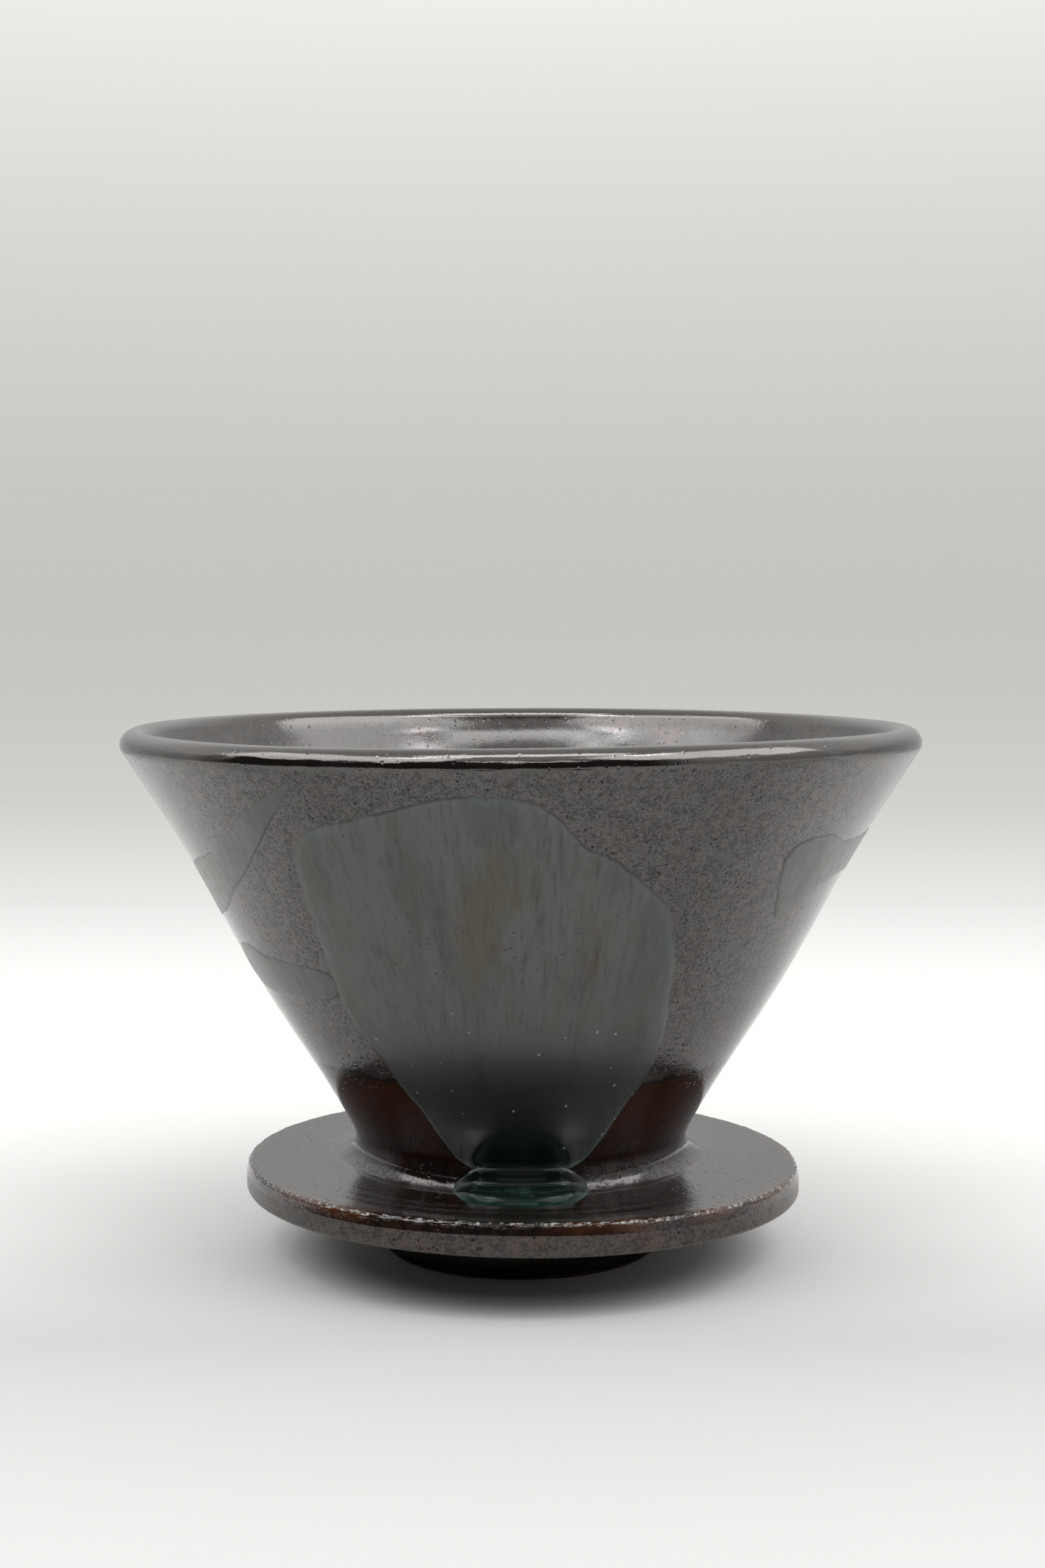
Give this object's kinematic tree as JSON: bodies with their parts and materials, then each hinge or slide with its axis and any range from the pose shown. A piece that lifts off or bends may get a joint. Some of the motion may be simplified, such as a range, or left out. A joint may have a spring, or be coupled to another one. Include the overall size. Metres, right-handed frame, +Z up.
{
  "type": "pour over dripper",
  "caption": "Hand-thrown stoneware pour over dripper: dark glazed cone with rolled lip and inner ribs on a flat flange and foot ring.",
  "frame": {"origin": "on the dripper's axis, at the foot ring's base", "axes": "+Z up the axis towards the lip; -Y towards the side with the large glaze pour"},
  "size_m": [0.124, 0.124, 0.0824],
  "materials": {
    "dark_glaze": "glossy",
    "bare_clay": "matte",
    "ash_glaze": "satin",
    "pool_glaze": "glossy"
  },
  "bodies": {
    "root": {"cone_wall": "dark_glaze", "flange_plate": "dark_glaze", "foot_ring": "bare_clay", "neck_coil": "dark_glaze", "rib_01": "dark_glaze", "rib_02": "dark_glaze", "rib_03": "dark_glaze", "rib_04": "dark_glaze", "rib_05": "dark_glaze", "rib_06": "dark_glaze", "rib_07": "dark_glaze", "rib_08": "dark_glaze", "rib_09": "dark_glaze", "rib_10": "dark_glaze", "rib_11": "dark_glaze", "rib_12": "dark_glaze", "front_pour": "ash_glaze", "left_streak": "ash_glaze", "left_pour": "ash_glaze", "right_pour": "ash_glaze", "rear_pour": "ash_glaze", "glaze_pool": "pool_glaze"}
  },
  "joints": []
}
